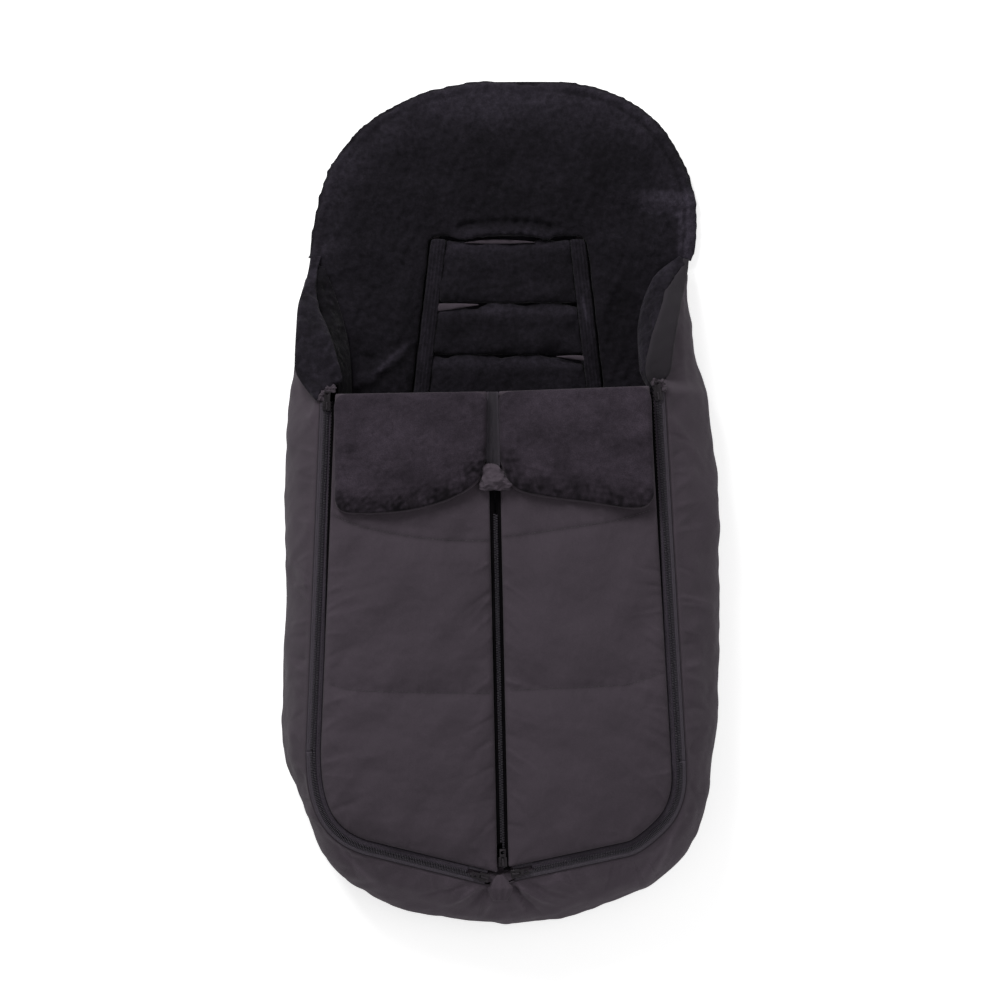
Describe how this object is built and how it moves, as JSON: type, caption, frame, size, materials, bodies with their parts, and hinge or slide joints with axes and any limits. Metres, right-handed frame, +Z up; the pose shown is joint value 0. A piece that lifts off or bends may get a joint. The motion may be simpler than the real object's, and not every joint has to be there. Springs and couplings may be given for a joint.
{
  "type": "stroller footmuff",
  "caption": "Padded footmuff with fleece lining, folding hood, harness openings, zipped cover halves and fold-down cuffs.",
  "frame": {"origin": "on the ground under the middle of the outline", "axes": "+Z up from the back to the cover, +Y towards the head end, +X towards the right as seen from above"},
  "size_m": [0.5036, 0.9699, 0.1478],
  "materials": {
    "shell_fabric": "matt fine woven polyester",
    "fleece": "short fleece pile",
    "cuff_fleece": "brushed fleece",
    "facing": "matt woven facing",
    "wadding": "polyester wadding",
    "binding": "rolled fleece edge",
    "zip_tape": "woven zip tape with nylon coil",
    "slider_metal": "dark enamel",
    "grip_rubber": "matt"
  },
  "bodies": {
    "base": {"back_shell": "shell_fabric", "back_wadding": "wadding", "back_lining": "fleece", "side_wall_left_shell": "shell_fabric", "side_wall_right_shell": "shell_fabric", "foot_wall_shell": "shell_fabric", "side_wall_left_lining": "fleece", "side_wall_right_lining": "fleece", "foot_wall_lining": "fleece", "wing_facing_left": "facing", "wing_facing_right": "facing", "wing_roll_left": "fleece", "wing_roll_right": "fleece", "harness_strip_left": "fleece", "harness_strip_right": "fleece", "foot_zip_tape_left": "zip_tape", "foot_zip_tape_right": "zip_tape", "neck_binding_left": "binding", "neck_binding_right": "binding", "grip_strip_left": "grip_rubber", "grip_strip_right": "grip_rubber"},
    "hood": {"hood_shell": "shell_fabric", "hood_wadding": "wadding", "hood_lining": "fleece", "hood_binding": "binding", "seat_pocket": "shell_fabric"},
    "harness_flap_1": {"harness_flap_1": "fleece"},
    "harness_flap_2": {"harness_flap_2": "fleece"},
    "harness_flap_3": {"harness_flap_3": "fleece"},
    "harness_flap_4": {"harness_flap_4": "fleece"},
    "crotch_flap": {"crotch_flap": "fleece"},
    "cover_left": {"cover_left_shell": "shell_fabric", "cover_left_lining": "fleece", "side_zip_outer_left": "zip_tape", "side_zip_inner_left": "zip_tape", "centre_zip_left": "zip_tape"},
    "cuff_left": {"cuff_left_shell": "shell_fabric", "cuff_left_lining": "cuff_fleece", "cuff_zip_left": "zip_tape", "zip_garage": "shell_fabric"},
    "side_slider_left": {"side_slider_left": "slider_metal"},
    "side_pull_left": {"side_pull_left": "slider_metal"},
    "foot_slider_left": {"foot_slider_left": "slider_metal"},
    "foot_pull_left": {"foot_pull_left": "slider_metal"},
    "cover_right": {"cover_right_shell": "shell_fabric", "cover_right_lining": "fleece", "side_zip_outer_right": "zip_tape", "side_zip_inner_right": "zip_tape", "centre_zip_right": "zip_tape"},
    "cuff_right": {"cuff_right_shell": "shell_fabric", "cuff_right_lining": "cuff_fleece", "cuff_zip_right": "zip_tape"},
    "side_slider_right": {"side_slider_right": "slider_metal"},
    "side_pull_right": {"side_pull_right": "slider_metal"},
    "foot_slider_right": {"foot_slider_right": "slider_metal"},
    "foot_pull_right": {"foot_pull_right": "slider_metal"},
    "centre_slider": {"centre_slider": "slider_metal"},
    "centre_pull": {"centre_pull": "slider_metal"}
  },
  "joints": [
    {"name": "hood_fold", "type": "hinge", "parent": "base", "child": "hood", "pos_m": [0, 0.318, 0.0202], "axis": [1, 0, 0], "range_deg": [0, 110]},
    {"name": "harness_flap_1_lift", "type": "hinge", "parent": "base", "child": "harness_flap_1", "pos_m": [0.008, 0.22989, 0.0199], "axis": [1, 0, 0], "range_deg": [0, 150]},
    {"name": "harness_flap_2_lift", "type": "hinge", "parent": "base", "child": "harness_flap_2", "pos_m": [0.008, 0.16992, 0.0199], "axis": [1, 0, 0], "range_deg": [0, 150]},
    {"name": "harness_flap_3_lift", "type": "hinge", "parent": "base", "child": "harness_flap_3", "pos_m": [0.008, 0.10706, 0.0199], "axis": [1, 0, 0], "range_deg": [0, 150]},
    {"name": "harness_flap_4_lift", "type": "hinge", "parent": "base", "child": "harness_flap_4", "pos_m": [0.008, 0.0421, 0.0199], "axis": [1, 0, 0], "range_deg": [0, 150]},
    {"name": "crotch_flap_lift", "type": "hinge", "parent": "base", "child": "crotch_flap", "pos_m": [-0.002, -0.1177, 0.0199], "axis": [1, 0, 0], "range_deg": [0, 150]},
    {"name": "cover_left_swing", "type": "hinge", "parent": "base", "child": "cover_left", "pos_m": [-0.21514, -0.08479, 0.118], "axis": [-0.0403, -0.9992, 0], "range_deg": [0, 140]},
    {"name": "cuff_left_unfold", "type": "hinge", "parent": "cover_left", "child": "cuff_left", "pos_m": [-0.10312, 0.12516, 0.1262], "axis": [-0.9999, -0.0159, 0], "range_deg": [0, 170]},
    {"name": "side_slider_left_run", "type": "slide", "parent": "cover_left", "child": "side_slider_left", "axis": [-0.0403, -0.9992, 0], "range_m": [0, 0.36]},
    {"name": "side_pull_left_flip", "type": "hinge", "parent": "side_slider_left", "child": "side_pull_left", "pos_m": [-0.19928, 0.10995, 0.1242], "axis": [0.9992, -0.0403, 0], "range_deg": [0, 170]},
    {"name": "foot_slider_left_run", "type": "slide", "parent": "base", "child": "foot_slider_left", "axis": [-0.9708, 0.2399, 0], "range_m": [0, 0.11]},
    {"name": "foot_pull_left_flip", "type": "hinge", "parent": "foot_slider_left", "child": "foot_pull_left", "pos_m": [-0.01908, -0.42923, 0.1242], "axis": [0.2399, 0.9708, 0], "range_deg": [0, 170]},
    {"name": "cover_right_swing", "type": "hinge", "parent": "base", "child": "cover_right", "pos_m": [0.19951, -0.08442, 0.118], "axis": [-0.0571, 0.9984, 0], "range_deg": [0, 140]},
    {"name": "cuff_right_unfold", "type": "hinge", "parent": "cover_right", "child": "cuff_right", "pos_m": [0.08396, 0.12989, 0.1262], "axis": [-0.9993, -0.0373, 0], "range_deg": [0, 170]},
    {"name": "side_slider_right_run", "type": "slide", "parent": "cover_right", "child": "side_slider_right", "axis": [0.0571, -0.9984, 0], "range_m": [0, 0.38]},
    {"name": "side_pull_right_flip", "type": "hinge", "parent": "side_slider_right", "child": "side_pull_right", "pos_m": [0.17971, 0.12159, 0.1242], "axis": [0.9984, 0.0571, 0], "range_deg": [0, 170]},
    {"name": "foot_slider_right_run", "type": "slide", "parent": "base", "child": "foot_slider_right", "axis": [0.9778, 0.2095, 0], "range_m": [0, 0.11]},
    {"name": "foot_pull_right_flip", "type": "hinge", "parent": "foot_slider_right", "child": "foot_pull_right", "pos_m": [0.01682, -0.42493, 0.1242], "axis": [0.2095, -0.9778, 0], "range_deg": [0, 170]},
    {"name": "centre_slider_run", "type": "slide", "parent": "cover_right", "child": "centre_slider", "axis": [-0.0212, 0.9998, 0], "range_m": [0, 0.4]},
    {"name": "centre_pull_flip", "type": "hinge", "parent": "centre_slider", "child": "centre_pull", "pos_m": [0.00208, -0.4115, 0.1242], "axis": [0.9998, 0.0212, 0], "range_deg": [0, 170]}
  ]
}
